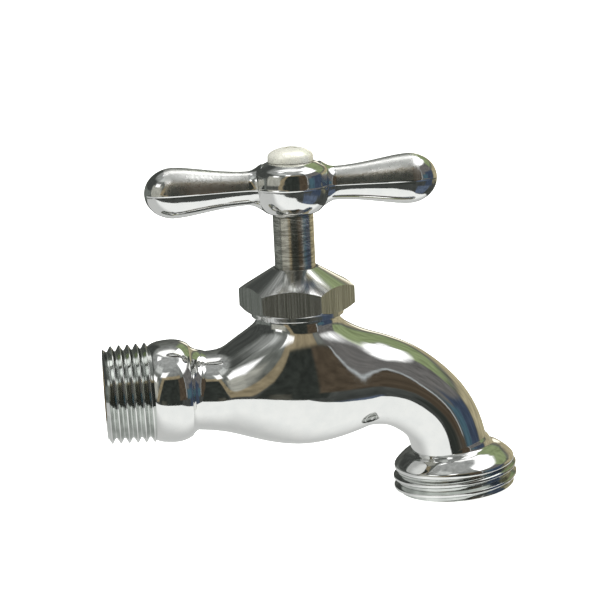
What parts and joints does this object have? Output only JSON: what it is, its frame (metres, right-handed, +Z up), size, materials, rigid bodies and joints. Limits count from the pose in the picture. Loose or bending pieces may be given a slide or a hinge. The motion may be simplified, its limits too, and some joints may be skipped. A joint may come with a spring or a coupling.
{
  "type": "hose bib",
  "caption": "Chromed hose tap with threaded inlet, rounded collar, bulbous body, curved spout with hose thread, packing nut and a tee handle on a screw stem that lifts a washer off its seat.",
  "frame": {"origin": "centre of the inlet's end face, on the inlet's axis", "axes": "+X along the inlet's axis towards the spout, +Z up along the stem, +Y away from a viewer who sees the inlet on the left"},
  "size_m": [0.0888, 0.027, 0.0774],
  "materials": {
    "chrome_plate": "polished chrome plate on cast brass",
    "turned_stem": "fine turned rings",
    "pale_nickel": "pale yellowish nickel plate",
    "plain_brass": "machined",
    "black_rubber": "moulded",
    "graphite_packing": "braided graphite yarn",
    "red_fibre": "vulcanised fibre"
  },
  "bodies": {
    "valve": {"valve_body": "chrome_plate", "valve_seat": "plain_brass", "packing_washer": "plain_brass", "packing_ring_lower": "graphite_packing", "packing_ring_upper": "graphite_packing", "gland_follower": "plain_brass", "neck_gasket": "red_fibre", "packing_nut": "chrome_plate"},
    "jumper_set": {"jumper": "plain_brass", "seat_washer": "black_rubber", "washer_nut": "plain_brass", "jumper_clip": "plain_brass"},
    "spindle": {"stem": "turned_stem", "handle": "chrome_plate", "handle_screw": "pale_nickel"}
  },
  "joints": [
    {"name": "stem_lift", "type": "slide", "parent": "valve", "child": "jumper_set", "axis": [0, 0, 1], "range_m": [0, 0.00529]},
    {"name": "handle_turn", "type": "hinge", "parent": "jumper_set", "child": "spindle", "pos_m": [0.0422, 0, 0], "axis": [0, 0, 1], "range_deg": [0, 900]}
  ],
  "couplings": [
    {"joint": "handle_turn", "follows": "stem_lift", "rad_per_m": 2968.5}
  ]
}
